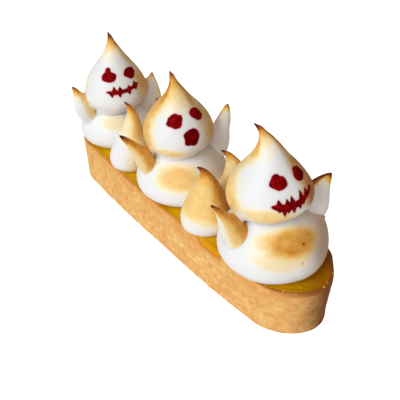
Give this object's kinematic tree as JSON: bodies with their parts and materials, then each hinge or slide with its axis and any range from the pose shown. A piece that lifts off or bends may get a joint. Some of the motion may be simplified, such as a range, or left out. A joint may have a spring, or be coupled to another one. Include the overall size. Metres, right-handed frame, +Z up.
{
  "type": "lemon pie",
  "caption": "Oblong lemon tart: straight-sided shortcrust case filled with lemon curd, topped with torched meringue ghosts with red eyes and mouths, and meringue kisses.",
  "frame": {"origin": "centre of the case's flat base, on the surface it stands on", "axes": "+Z up; +X along the case towards the end that the ghosts face; +Y to the ghosts' left-hand side"},
  "size_m": [0.1416, 0.048, 0.0706],
  "materials": {
    "crust": "matte",
    "curd": "gloss",
    "meringue": "satin",
    "red_marks": "satin"
  },
  "bodies": {
    "root": {"tart_shell": "crust", "lemon_curd": "curd", "ghost_1_body": "meringue", "ghost_1_head": "meringue", "ghost_1_arm_left": "meringue", "ghost_1_arm_right": "meringue", "ghost_2_body": "meringue", "ghost_2_head": "meringue", "ghost_2_arm_left": "meringue", "ghost_2_arm_right": "meringue", "ghost_3_body": "meringue", "ghost_3_head": "meringue", "ghost_3_arm_left": "meringue", "ghost_3_arm_right": "meringue", "kiss_1_left": "meringue", "kiss_1_right": "meringue", "kiss_2_left": "meringue", "kiss_2_right": "meringue"}
  },
  "joints": []
}
